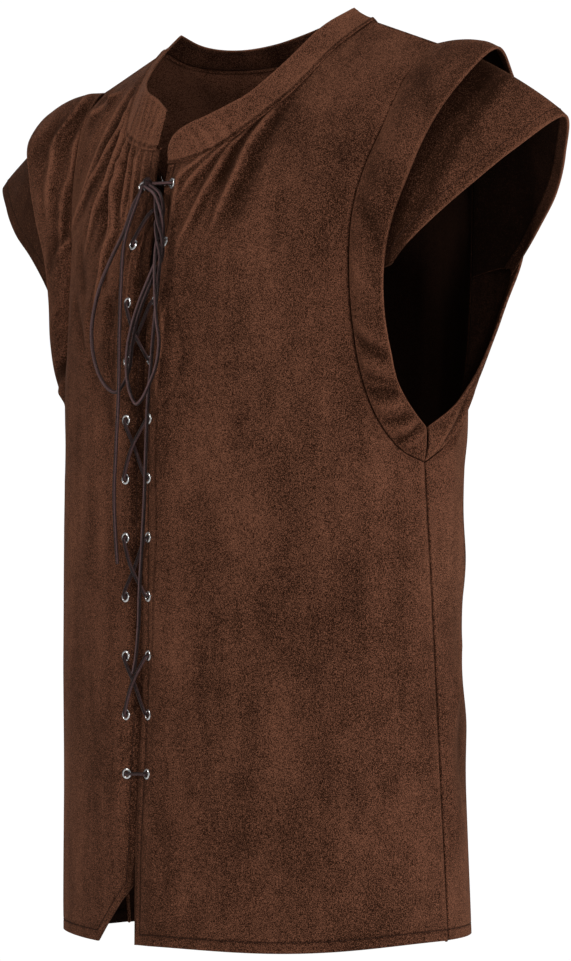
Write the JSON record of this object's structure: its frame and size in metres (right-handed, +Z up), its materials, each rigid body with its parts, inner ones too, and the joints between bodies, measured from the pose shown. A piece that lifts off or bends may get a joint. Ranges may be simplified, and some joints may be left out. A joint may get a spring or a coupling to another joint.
{
  "type": "lace-up waistcoat",
  "caption": "Sleeveless suede-look waistcoat with laced eyelet fronts, a flat neckband and two tiers of cap at each armhole.",
  "frame": {"origin": "midway between the wearer's shoulders, level with the middle of the shoulder seams", "axes": "+Z up the wearer's body, -Y out of the laced fronts, +X towards the wearer's left"},
  "size_m": [0.69, 0.2792, 0.737],
  "materials": {
    "suede": "short nap, matt",
    "eyelet": "polished",
    "lace": "smooth, slightly glossy"
  },
  "bodies": {
    "root": {"front_left": "suede", "front_right": "suede", "back": "suede", "neckband": "suede", "armhole_band_left": "suede", "armhole_band_right": "suede", "cap_left": "suede", "cap_right": "suede", "eyelet_left_01": "eyelet", "eyelet_left_02": "eyelet", "eyelet_left_03": "eyelet", "eyelet_left_04": "eyelet", "eyelet_left_05": "eyelet", "eyelet_left_06": "eyelet", "eyelet_left_07": "eyelet", "eyelet_left_08": "eyelet", "eyelet_left_09": "eyelet", "eyelet_left_10": "eyelet", "eyelet_left_11": "eyelet", "eyelet_right_01": "eyelet", "eyelet_right_02": "eyelet", "eyelet_right_03": "eyelet", "eyelet_right_04": "eyelet", "eyelet_right_05": "eyelet", "eyelet_right_06": "eyelet", "eyelet_right_07": "eyelet", "eyelet_right_08": "eyelet", "eyelet_right_09": "eyelet", "eyelet_right_10": "eyelet", "eyelet_right_11": "eyelet", "lacing": "lace", "lace_knot": "lace", "lace_loop_left": "lace", "lace_loop_right": "lace", "lace_end_left": "lace", "lace_end_right": "lace"}
  },
  "joints": []
}
